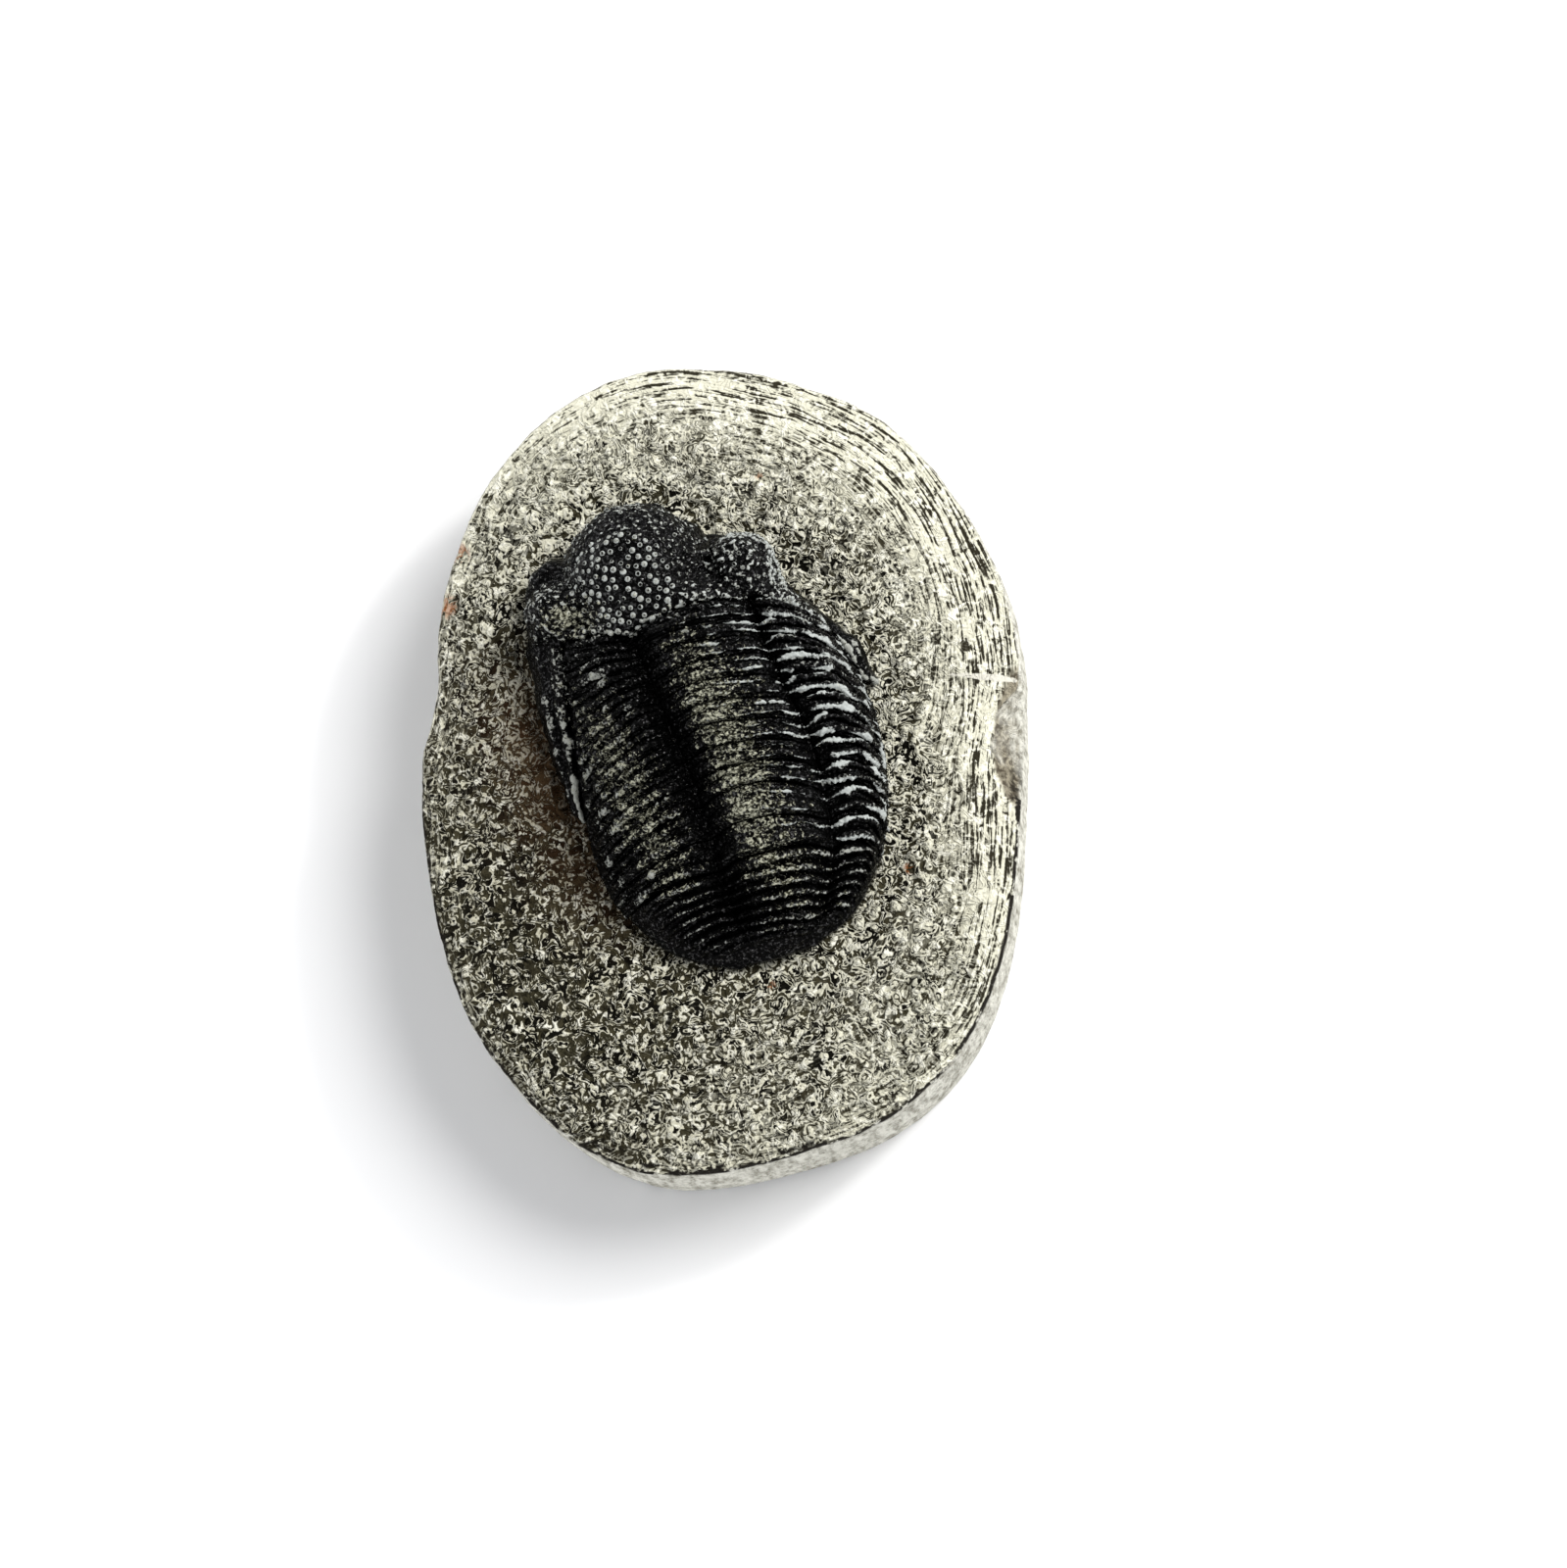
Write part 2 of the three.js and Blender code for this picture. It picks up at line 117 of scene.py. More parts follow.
def copy_of(node, name):
    """A copy of a CAD node's mesh, its loose triangles merged and paired into quads."""
    piece = bpy.data.objects.new(name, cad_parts[node].data.copy())
    piece.data.materials.clear()
    bpy.context.scene.collection.objects.link(piece)
    only(piece)
    widest = math.radians(60)
    bpy.ops.object.mode_set(mode="EDIT")
    bpy.ops.mesh.select_all(action="SELECT")
    bpy.ops.mesh.remove_doubles(threshold=MM / 1000)
    bpy.ops.mesh.tris_convert_to_quads(face_threshold=widest, shape_threshold=widest)
    bpy.ops.object.mode_set(mode="OBJECT")
    return piece


def pick_faces(piece, wanted):
    """Goes to edit mode with the wanted faces selected."""
    only(piece)
    bpy.ops.object.mode_set(mode="EDIT")
    bpy.context.tool_settings.mesh_select_mode = (False, False, True)
    bpy.ops.mesh.select_all(action="DESELECT")
    bpy.ops.object.mode_set(mode="OBJECT")
    for face in piece.data.polygons:
        face.select = wanted(face)
    bpy.ops.object.mode_set(mode="EDIT")


def finish_with(piece, kind, **settings):
    """Adds a modifier and applies it."""
    only(piece)
    bpy.ops.object.modifier_add(type=kind)
    modifier = piece.modifiers[-1]
    for key, value in settings.items():
        setattr(modifier, key, value)
    bpy.ops.object.modifier_apply(modifier=modifier.name)


def divide(piece, levels):
    finish_with(piece, "SUBSURF", levels=levels, render_levels=levels)


def raise_by(piece, height, group, direction="NORMAL"):
    """Moves the surface out by a height where the group's weight is 1."""
    finish_with(piece, "DISPLACE", direction=direction, strength=height, mid_level=0,
                vertex_group=group)


def roughen(piece, grain, depth, group, direction="NORMAL", **settings):
    """Moves the surface in and out by a solid cloud texture of the given grain and depth."""
    texture = bpy.data.textures.new(f"{piece.name} clouds", "CLOUDS")
    texture.noise_scale = grain
    for key, value in settings.items():
        setattr(texture, key, value)
    finish_with(piece, "DISPLACE", texture=texture, texture_coords="LOCAL", strength=depth,
                direction=direction, mid_level=0.5, vertex_group=group)


def set_weights(piece, name, weights):
    """A vertex group with one weight for each vertex."""
    group = piece.vertex_groups.new(name=name)
    for index, weight in enumerate(weights):
        group.add([index], float(weight), "REPLACE")


def weigh(piece, name, weight):
    """A vertex group with a weight worked out from each vertex's place."""
    set_weights(piece, name, (weight(vertex.co) for vertex in piece.data.vertices))


def read_vectors(vertices, kind):
    """The places ("co") or the normals ("normal") of vertices, one row each."""
    values = np.empty(len(vertices) * 3)
    vertices.foreach_get(kind, values)
    return values.reshape(-1, 3)


def places(piece):
    return read_vectors(piece.data.vertices, "co")


def normals(piece):
    return read_vectors(piece.data.vertices, "normal")


def write_attribute(piece, name, values):
    attribute = piece.data.attributes.new(name, "FLOAT", "POINT")
    attribute.data.foreach_set("value", np.asarray(values, np.float32))


def read_crests(piece):
    crest = np.empty(len(piece.data.vertices), np.float32)
    piece.data.attributes["crest"].data.foreach_get("value", crest)
    return crest


def mark_crests(piece, rounds, full, longest=1.0):
    """Writes how far each vertex stands proud of the smoothed surface, from -1 to 1. Edges that
    are longer than the longest take no part in the smoothing."""
    co = places(piece)
    count = len(co)
    ends = np.empty(len(piece.data.edges) * 2, np.int64)
    piece.data.edges.foreach_get("vertices", ends)
    a, b = ends.reshape(-1, 2).T
    short = np.linalg.norm(co[a] - co[b], axis=1) < longest
    a, b = a[short], b[short]
    uses = np.bincount(a, minlength=count) + np.bincount(b, minlength=count)
    uses = np.maximum(uses, 1)[:, None]
    smooth = co.copy()
    for _ in range(rounds):
        pull = [np.bincount(a, smooth[b, k], count) + np.bincount(b, smooth[a, k], count)
                for k in range(3)]
        smooth = np.where(uses > 1, 0.5 * smooth + 0.5 * np.stack(pull, 1) / uses, smooth)
    proud = ((co - smooth) * normals(piece)).sum(1) / full
    write_attribute(piece, "crest", np.clip(proud, -1, 1))


def ease(value, low, high):
    """0 below low, 1 above high and smooth between them."""
    t = min(max((value - low) / (high - low), 0), 1)
    return t * t * (3 - 2 * t)


def bell(values, middle, half):
    """1 at the middle, falling to about a third at half beside it."""
    return np.exp(-((values - middle) / half) ** 2)


def slab_shares(co):
    """Places as shares of the slab's box, from left to right and from front to back."""
    shares = (co - np.array(SLAB_LOW)) / np.array(SLAB_SIZE)
    return shares[:, 0], shares[:, 1]


# Material tools

def rgb(red, green, blue):
    return (red, green, blue, 1)


class Paint:
    """A procedural material, built one node at a time."""

    def __init__(self, name):
        self.material = bpy.data.materials.new(name)
        self.material.use_nodes = True
        self.tree = self.material.node_tree
        self.surface = self.tree.nodes["Principled BSDF"]
        self.where = self.node("ShaderNodeTexCoord").outputs["Object"]

    def node(self, kind, **settings):
        made = self.tree.nodes.new(kind)
        for key, value in settings.items():
            setattr(made, key, value)
        return made

    def feed(self, socket, value):
        """Links another node's output, or sets a plain value."""
        if isinstance(value, bpy.types.NodeSocket):
            self.tree.links.new(value, socket)
        else:
            socket.default_value = value

    def set(self, name, value):
        """One of the surface's own settings."""
        self.feed(self.surface.inputs[name], value)

    def maths(self, operation, a, b=0.0, c=0.0):
        made = self.node("ShaderNodeMath", operation=operation)
        for socket, value in zip(made.inputs, (a, b, c)):
            self.feed(socket, value)
        return made.outputs[0]

    def times(self, a, b):
        return self.maths("MULTIPLY", a, b)

    def add(self, total, value, share=1.0):
        """The total with a share of the value on top."""
        return self.maths("MULTIPLY_ADD", value, share, total)

    def step(self, value, low, high, to_low=0.0, to_high=1.0):
        """Goes smoothly from to_low to to_high while the value goes from low to high."""
        made = self.node("ShaderNodeMapRange", interpolation_type="SMOOTHSTEP")
        for socket, number in zip(made.inputs, (value, low, high, to_low, to_high)):
            self.feed(socket, number)
        return made.outputs[0]

    def attribute(self, name):
        return self.node("ShaderNodeAttribute", attribute_name=name).outputs["Fac"]

    def patch(self, centre, half, turn=0.0):
        """1 in the middle of an ellipsoid and 0 outside it."""
        placed = self.node("ShaderNodeMapping", vector_type="TEXTURE")
        self.feed(placed.inputs["Vector"], self.where)
        placed.inputs["Location"].default_value = centre
        placed.inputs["Rotation"].default_value = (0, 0, math.radians(turn))
        placed.inputs["Scale"].default_value = half
        made = self.node("ShaderNodeTexGradient", gradient_type="SPHERICAL")
        self.feed(made.inputs["Vector"], placed.outputs[0])
        return made.outputs["Fac"]

    def noise(self, grain, detail=2.0, roughness=0.5, distortion=0.0, vector=None):
        made = self.node("ShaderNodeTexNoise")
        self.feed(made.inputs["Vector"], vector or self.where)
        made.inputs["Scale"].default_value = 1 / grain
        made.inputs["Detail"].default_value = detail
        made.inputs["Roughness"].default_value = roughness
        made.inputs["Distortion"].default_value = distortion
        return made.outputs["Fac"]

    def mix(self, share, a, b):
        made = self.node("ShaderNodeMix", data_type="RGBA")
        self.feed(made.inputs["Factor"], share)
        self.feed(made.inputs["A"], a)
        self.feed(made.inputs["B"], b)
        return made.outputs["Result"]

    def bump(self, height, distance, under=None):
        made = self.node("ShaderNodeBump")
        made.inputs["Distance"].default_value = distance
        self.feed(made.inputs["Height"], height)
        if under:
            self.feed(made.inputs["Normal"], under)
        return made.outputs[0]


# Camera, floor and lights

def add_camera():
    target = Vector((SLAB_MIDDLE.x + CAMERA_AIM[0], SLAB_MIDDLE.y + CAMERA_AIM[1], ROCK_TOP))
    to_right, to_front = (math.tan(math.radians(tilt)) for tilt in CAMERA_TILT)
    towards = Vector((to_right, -to_front, 1)).normalized()
    bpy.ops.object.camera_add(location=target + towards * CAMERA_AWAY)
    camera = bpy.context.object
    camera.name = "camera"
    right = Vector((0, 1, 0)).cross(towards).normalized()
    camera.rotation_euler = Matrix((right, towards.cross(right), towards)).transposed().to_euler()
    camera.data.lens = CAMERA_LENS
    camera.data.clip_start = 10 * MM
    camera.data.clip_end = 10
    bpy.context.scene.camera = camera


def add_floor():
    middle = (SLAB_MIDDLE.x, SLAB_MIDDLE.y, CAD_BOX[0][2])
    bpy.ops.mesh.primitive_plane_add(size=FLOOR_WIDTH, location=middle)
    floor = bpy.context.object
    floor.name = "floor"
    paper = Paint("white paper")
    paper.set("Base Color", rgb(0.88, 0.885, 0.9))
    paper.set("Roughness", 0.9)
    paper.set("Specular IOR Level", 0.1)
    floor.data.materials.append(paper.material)


def add_light(name, place, size, power, colour):
    """A round lamp at a place measured from the slab's middle, turned to face the slab."""
    bpy.ops.object.light_add(type="AREA", location=SLAB_MIDDLE + Vector(place))
    light = bpy.context.object
    light.name = name
    light.rotation_euler = Vector(place).to_track_quat("Z", "Y").to_euler()
    light.data.shape = "DISK"
    light.data.size = size
    light.data.energy = power
    light.data.color = colour


def light_scene():
    """A large soft window, a small sharper lamp and a room that is brighter low down."""
    add_light("window", (0.32, 0.22, 0.56), 0.3, 3.1, (1, 0.99, 0.965))
    add_light("lamp", (0.4, 0.3, 0.44), 0.07, 1.1, (1, 0.98, 0.95))
    world = bpy.data.worlds.new("soft room")
    world.use_nodes = True
    nodes, links = world.node_tree.nodes, world.node_tree.links
    where = nodes.new("ShaderNodeTexCoord")
    split = nodes.new("ShaderNodeSeparateXYZ")
    height = nodes.new("ShaderNodeMapRange")
    for socket, number in zip(height.inputs[1:5], (0.0, 1.0, SKY_AT_HORIZON, SKY_ABOVE)):
        socket.default_value = number
    links.new(where.outputs["Generated"], split.inputs[0])
    links.new(split.outputs["Z"], height.inputs["Value"])
    links.new(height.outputs[0], nodes["Background"].inputs["Strength"])
    nodes["Background"].inputs["Color"].default_value = (0.98, 0.985, 1, 1)
    bpy.context.scene.world = world
    bpy.context.scene.view_settings.view_transform = "Standard"


# Materials

def shell_paint():
    """Black mineralised shell: glossy, its crests worn grey with painted highlight lines on them,
    with rock still in its hollows.
    """
    paint = Paint("black fossil shell")
    crest = paint.attribute("crest")
    grain = paint.noise(0.24 * MM, detail=2, roughness=0.6)
    patches = paint.noise(0.9 * MM, detail=3, roughness=0.65)
    clods = paint.noise(0.46 * MM, detail=2, roughness=0.6, distortion=1.3)

    # Crests are worn grey, and the sharpest of them get painted highlight lines
    wear = paint.add(paint.add(paint.times(grain, 0.75), crest, 0.66), patches, 0.6)
    worn = paint.step(wear, 1.04, 1.22)
    colour = paint.mix(worn, rgb(0.001, 0.001, 0.001), rgb(0.33, 0.34, 0.31))
    # Painted highlight: pale lines where the ribs' fold crests and the head's raised tips catch
    # the light
    painted_highlight = paint.step(paint.add(paint.attribute("line"), grain, 1.3), 1.05, 1.45)
    colour = paint.mix(painted_highlight, colour, rgb(0.42, 0.445, 0.43))

    # Rock that was left on the shell
    left_over = paint.add(clods, paint.attribute("residue"), 0.31)
    left_over = paint.add(paint.add(left_over, crest, 0.14), patches, 0.3)
    rock = paint.step(left_over, 0.91, 1.03)
    stone = paint.mix(paint.step(grain, 0.4, 0.6), rgb(0.025, 0.024, 0.014), rgb(0.44, 0.44, 0.34))
    paint.set("Base Color", paint.mix(rock, colour, stone))

    polish = paint.step(patches, 0.35, 0.65, 0.12, 0.26)
    dull = paint.maths("MAXIMUM", paint.times(worn, 0.4), paint.times(rock, 0.8))
    paint.set("Roughness", paint.maths("MAXIMUM", polish, dull))
    paint.set("Specular IOR Level", paint.step(grain, 0.52, 0.66, 0.03, 0.55))
    dents = paint.bump(grain, 0.06 * MM)
    paint.set("Normal", paint.bump(clods, 0.16 * MM, under=dents))
    return paint.material


def on_slab(across, along, height):
    """A place in shares of the slab's box, at a height over its top face."""
    return (SLAB_LOW.x + across * SLAB_SIZE.x, SLAB_LOW.y + along * SLAB_SIZE.y, ROCK_TOP + height)


def scratches(paint, lean):
    """Fine lines around the rim; with a lean they run out over it."""
    across = paint.add(paint.attribute("rim"), paint.attribute("sweep"), lean)
    around = paint.node("ShaderNodeCombineXYZ")
    parts = (across, paint.attribute("east"), paint.attribute("north"))
    for socket, part in zip(around.inputs, parts):
        paint.feed(socket, part)
    return paint.noise(0.23 * MM, detail=2, roughness=0.6, vector=around.outputs[0])


def add_chip_and_vein(paint, colour, grit, cloud):
    """The broken facet on the right of the rim, and the pale vein above it."""
    chip = paint.patch(on_slab(0.99, 0.53, -2 * MM), (3 * MM, 8.5 * MM, 5 * MM))
    chip = paint.step(paint.add(chip, cloud, 0.35), 0.42, 0.55)
    broken = paint.mix(paint.step(grit, 0.35, 0.65), rgb(0.07, 0.058, 0.04), rgb(0.3, 0.27, 0.2))
    colour = paint.mix(chip, colour, broken)
    vein = paint.patch(on_slab(0.945, 0.606, -0.5 * MM), (4.6 * MM, 0.44 * MM, 3 * MM), turn=-3)
    wave = paint.times(paint.noise(0.9 * MM, detail=3), 0.7)
    vein = paint.step(paint.maths("ADD", vein, wave), 0.64, 0.8)
    return paint.mix(vein, colour, rgb(0.66, 0.64, 0.56))


def add_walls(paint, colour, tilt, wall, grit):
    """Streaked walls, and the dark broken lip between them and the bevel on the lower half: partly
    a crack, partly painted shade on the edge that faces away from the light.
    """
    drawn_out = paint.node("ShaderNodeMapping")
    paint.feed(drawn_out.inputs["Vector"], paint.where)
    drawn_out.inputs["Scale"].default_value = (1, 1, 0.2)
    streak = paint.noise(0.7 * MM, detail=3, roughness=0.65, vector=drawn_out.outputs[0])
    streak = paint.step(paint.add(streak, grit, 0.5), 0.45, 0.95)
    sides = paint.mix(streak, rgb(0.19, 0.18, 0.14), rgb(0.66, 0.65, 0.58))
    colour = paint.mix(wall, colour, sides)

    split = paint.node("ShaderNodeSeparateXYZ")
    paint.feed(split.inputs[0], paint.where)
    height, along = split.outputs["Z"], split.outputs["Y"]
    # Painted shade, partly a dark crack: a near-black line on the rounded rim edge, only on the
    # lower half
    lip = paint.times(paint.step(tilt, 0.08, 0.25), paint.step(tilt, 0.85, 0.6))
    lip = paint.times(lip, paint.step(paint.attribute("rim"), 1.4 * MM, 0.9 * MM))
    lip = paint.times(lip, paint.step(height, ROCK_TOP - 6 * MM, ROCK_TOP - 5 * MM))
    lip = paint.times(lip, paint.step(paint.noise(1.5 * MM, detail=3, roughness=0.7), 0.42, 0.5))
    lip = paint.times(lip, paint.step(along, SLAB_MIDDLE.y + 3 * MM, SLAB_MIDDLE.y - 3 * MM))
    return paint.mix(lip, colour, rgb(0.014, 0.012, 0.009))


def add_rust_stain_and_shadow(paint, colour, grit, cloud):
    """Small rust spots, given by their place and size, and the dark brown patch beside the left
    flank: partly a stain, partly painted shadow of the fossil.
    """
    spots = ((0.806, 0.373, 0.7), (0.582, 0.234, 0.6), (0.561, 0.856, 0.5),
             (0.063, 0.766, 1.3), (0.04, 0.7, 1.5))
    rust = 0.0
    for across, along, half in spots:
        spot = paint.patch(on_slab(across, along, -0.3 * MM), (half * MM, half * MM, 2 * MM))
        rust = paint.maths("ADD", rust, paint.times(spot, paint.step(grit, 0.4, 0.55)))
    colour = paint.mix(paint.step(rust, 0.15, 0.6, 0, 0.7), colour, rgb(0.3, 0.1, 0.025))
    # Partly brown stain, partly painted shadow cast by the fossil towards the left, away from the
    # light
    stain_and_shadow = paint.times(paint.attribute("stain_and_shadow"), paint.step(cloud, 0.3, 0.5))
    return paint.mix(paint.times(stain_and_shadow, 0.8), colour, rgb(0.06, 0.03, 0.013))


def limestone_paint():
    """Grey-cream limestone: pecked around the fossil, ground near the rim, with streaked walls."""
    paint = Paint("ground limestone")
    painted_shade_and_halo = paint.attribute("painted_shade_and_halo")
    ground = paint.attribute("ground")
    tilt = paint.attribute("wall")
    wall = paint.step(tilt, 0.3, 0.6)
    swirl = paint.noise(1.25 * MM, detail=1, roughness=0.5, distortion=1.4)
    curl = paint.maths("MULTIPLY_ADD", paint.maths("SINE", paint.times(swirl, 30)), 0.5, 0.5)
    grit = paint.noise(0.66 * MM, detail=1.5, roughness=0.6, distortion=1.1)
    cloud = paint.noise(4.5 * MM, detail=4, roughness=0.6)

    # The pecked part: curled pale strokes with dark gaps
    # Painted shade: the pale strokes darken where the painted shade lies
    bright = paint.mix(painted_shade_and_halo, rgb(0.68, 0.665, 0.535), rgb(0.47, 0.45, 0.34))
    bright = paint.mix(paint.step(grit, 0.5, 0.68, 0.0, 0.8), bright, rgb(0.9, 0.89, 0.78))
    # Partly painted shade: the near-black gaps stand for the shadow in the pecked pits as well as
    # the rock's dark mottling
    dark = paint.step(swirl, 0.4, 0.6)
    dark = paint.mix(dark, rgb(0.004, 0.0035, 0.002), rgb(0.045, 0.04, 0.022))
    # Painted light: the crest share makes the raised grains paler
    tone = paint.add(paint.add(grit, curl, 0.32), paint.attribute("crest"), 0.08)
    tone = paint.add(paint.add(tone, cloud, 0.2), painted_shade_and_halo, -0.14)
    pecked = paint.mix(paint.step(tone, 0.68, 0.76), dark, bright)

    # The ground part: long scratches, darker towards the lower left by the painted shade
    around, leaning = scratches(paint, 0.0), scratches(paint, 0.13)
    scratch = paint.mix(paint.step(cloud, 0.42, 0.56), around, leaning)
    tone = paint.add(paint.times(grit, 0.35), scratch, 0.85)
    tone = paint.add(paint.add(tone, cloud, 0.14), painted_shade_and_halo, -0.16)
    smooth = paint.mix(paint.step(tone, 0.59, 0.68), rgb(0.025, 0.022, 0.013), bright)

    colour = paint.mix(ground, pecked, smooth)
    colour = add_chip_and_vein(paint, colour, grit, cloud)
    colour = add_walls(paint, colour, tilt, wall, grit)
    colour = add_rust_stain_and_shadow(paint, colour, grit, cloud)
    paint.set("Base Color", colour)
    paint.set("Roughness", 0.8)
    paint.set("Specular IOR Level", 0.06)
    relief = paint.times(paint.add(grit, curl, 0.3), paint.step(ground, 0.0, 1.0, 1.0, 0.4))
    pits = paint.bump(relief, 0.5 * MM)
    grooves = paint.times(scratch, paint.times(ground, paint.step(wall, 1.0, 0.0)))
    paint.set("Normal", paint.bump(grooves, 0.2 * MM, under=pits))
    return paint.material


# The slab

def declare(piece, node, paint):
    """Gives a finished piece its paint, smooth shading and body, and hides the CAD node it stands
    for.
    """
    piece.data.materials.clear()
    piece.data.materials.append(paint)
    only(piece)
    bpy.ops.object.shade_smooth()
    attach(piece, "root")
    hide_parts(node)


def tree_of(points):
    """A search tree over points, for the nearest one."""
    tree = kdtree.KDTree(len(points))
    for index, point in enumerate(points):
        tree.insert(point, index)
    tree.balance()
    return tree


def fossil_outline():
    """A search tree over the foot of the fossil's plates, seen from above."""
    feet = [vertex.co for name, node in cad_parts.items() if name != "matrix_slab"
            for vertex in node.data.vertices if vertex.co.z < FOOT_LEVEL]
    return tree_of([(foot.x, foot.y, 0) for foot in feet])


def rim_distance(co):
    """How far inside the slab's rim each point lies, and the angle at which it lies, both seen
    from the slab's middle."""
    x, y = co[:, 0] - SLAB_MIDDLE.x, co[:, 1] - SLAB_MIDDLE.y
    angle, reach = np.arctan2(y, x), np.hypot(x, y)
    count = 360 // RIM_BIN
    bins = np.floor((angle + math.pi) / math.radians(RIM_BIN)).astype(int) % count
    rim = np.zeros(count)
    upper = co[:, 2] > ROCK_TOP * 0.55
    np.maximum.at(rim, bins[upper], reach[upper])
    rim = sum(np.roll(rim, k) for k in (-2, -1, 0, 1, 2)) / 5
    middles = np.radians((np.arange(count) + 0.5) * RIM_BIN) - math.pi
    return np.interp(angle, middles, rim, period=2 * math.pi) - reach, angle


def mark_slab(slab, from_fossil):
    """Writes what the limestone's paint has to know about each vertex."""
    co = places(slab)
    far = np.array([from_fossil(vertex.co) for vertex in slab.data.vertices])
    rim, angle = rim_distance(co)
    x, y = co[:, 0] - SLAB_MIDDLE.x, co[:, 1] - SLAB_MIDDLE.y
    half = SLAB_SIZE / 2
    write_attribute(slab, "rim", rim)
    write_attribute(slab, "sweep", angle * half.x)
    write_attribute(slab, "east", np.cos(angle) * 1.7 * MM)
    write_attribute(slab, "north", np.sin(angle) * 1.7 * MM)
    write_attribute(slab, "wall", 1 - np.abs(normals(slab)[:, 2]))
    low = np.clip((ROCK_TOP - 0.15 * MM - co[:, 2]) / (0.7 * MM), 0, 1)
    write_attribute(slab, "ground", low * np.clip(far / (2 * MM) - 1.2, 0, 1))
    # Painted shade: darker towards the lower left, away from the light; the negative upper-left
    # share is painted light; the halo is the paler cleaned matrix right of the fossil
    lower_left = bell(x / half.x, -0.55, 0.75) * bell(y / half.y, -0.35, 0.8)
    upper_left = bell(x / half.x, -0.5, 0.5) * bell(y / half.y, 0.7, 0.4)
    halo = bell(far, 0, 1.6 * MM) * (x > 0)
    write_attribute(slab, "painted_shade_and_halo", 0.9 * lower_left - 0.35 * upper_left - 0.2 * halo)
    # A brown stain and painted shadow of the fossil beside its left flank
    beside = bell(far, 0, 4.5 * MM) * np.clip(-x / (4 * MM) - 1, 0, 1)
    write_attribute(slab, "stain_and_shadow", beside * np.clip(1.5 - np.abs(y + 2 * MM) / (9 * MM), 0, 1))


def build_slab(paint):
    """The rock: its top pecked around the fossil, its bevel and walls ground."""
    slab = copy_of("matrix_slab", "limestone_slab")
    finish_with(slab, "REMESH", mode="VOXEL", voxel_size=SLAB_VOXEL, adaptivity=0)
    outline = fossil_outline()

    def from_fossil(co):
        return outline.find((co.x, co.y, 0))[2]

    def top(co):
        return ease(co.z, ROCK_TOP - 3 * MM, ROCK_TOP - 1.2 * MM)

    weigh(slab, "moat", lambda co: top(co) * (1 - ease(from_fossil(co), 0.6 * MM, 3.4 * MM)))
    weigh(slab, "pecked",
          lambda co: top(co) * ease(co.z, ROCK_TOP - 0.9 * MM, ROCK_TOP - 0.1 * MM))
    weigh(slab, "all", lambda co: ease(co.z, 0.3 * MM, 2 * MM))
    raise_by(slab, -0.5 * MM, "moat", direction="Z")
    roughen(slab, 4 * MM, 0.5 * MM, "pecked", noise_depth=2)
    roughen(slab, 2.6 * MM, 0.3 * MM, "all", noise_depth=3)
    roughen(slab, 0.7 * MM, 0.9 * MM, "pecked", noise_depth=0, noise_type="HARD_NOISE")
    mark_crests(slab, 12, 0.12 * MM)
    mark_slab(slab, from_fossil)
    declare(slab, "matrix_slab", paint)


# The shell

def top_sheet(node, name):
    """The upper surface of a plate, without its walls and its foot."""
    plate = copy_of(node, name)
    upright = 0.0005
    pick_faces(plate, lambda face: abs(face.normal.z) < upright
               or face.center.z < FOOT_LEVEL)
    bpy.ops.mesh.delete(type="FACE")
    bpy.ops.object.mode_set(mode="OBJECT")
    return plate


def close_down(plate):
    """Draws the sheet's edge straight down to a flat foot below the rock's surface."""
    only(plate)
    bpy.ops.object.mode_set(mode="EDIT")
    bpy.context.tool_settings.mesh_select_mode = (False, True, False)
    bpy.ops.mesh.select_all(action="DESELECT")
    bpy.ops.mesh.select_non_manifold(extend=False, use_wire=False, use_multi_face=False,
                                     use_non_contiguous=False, use_verts=False)
    bpy.ops.mesh.extrude_region_move(TRANSFORM_OT_translate={"value": (0, 0, 0)})
    bpy.ops.transform.resize(value=(1, 1, 0), center_override=(0, 0, ROCK_TOP - SHELL_FOOT))
    bpy.ops.mesh.edge_face_add()
    bpy.ops.mesh.select_all(action="SELECT")
    bpy.ops.mesh.normals_make_consistent(inside=False)
    bpy.ops.object.mode_set(mode="OBJECT")


def mark_residue(piece):
    """Rock left on the middle of the back, on the left ribs and on the left eye."""
    x, y = slab_shares(places(piece))
    back = bell(x + (y - 0.476) * 0.44, 0.538, 0.085) * np.exp(-((y - 0.476) / 0.17) ** 4)
    ribs = bell(x + (y - 0.45) * 0.6, 0.36, 0.06) * np.exp(-((y - 0.45) / 0.13) ** 4)
    eye = bell(x, 0.262, 0.055) * bell(y, 0.662, 0.024)
    write_attribute(piece, "residue", back + ribs * 0.85 + eye * 1.1)


def folds(piece):
    """How far each vertex lies from the front edge (0) to the back edge (1) of an open sheet."""
    mesh = piece.data
    beside = {}
    for face in mesh.polygons:
        for key in face.edge_keys:
            beside.setdefault(key, []).append(face.center)
    front, back = [], []
    for key, centers in beside.items():
        if len(centers) == 1:
            ends = [mesh.vertices[index].co for index in key]
            inward = (centers[0] - (ends[0] + ends[1]) / 2).normalized()
            forwards = inward.y * FORWARDS[1] + inward.x * FORWARDS[0]
            if abs(forwards) > 0.3:
                (front if forwards < 0 else back).extend(ends)
    front, back = (tree_of(row) for row in (front, back))
    to_front = np.array([front.find(vertex.co)[2] for vertex in mesh.vertices])
    to_back = np.array([back.find(vertex.co)[2] for vertex in mesh.vertices])
    return to_front / (to_front + to_back + 1e-9)


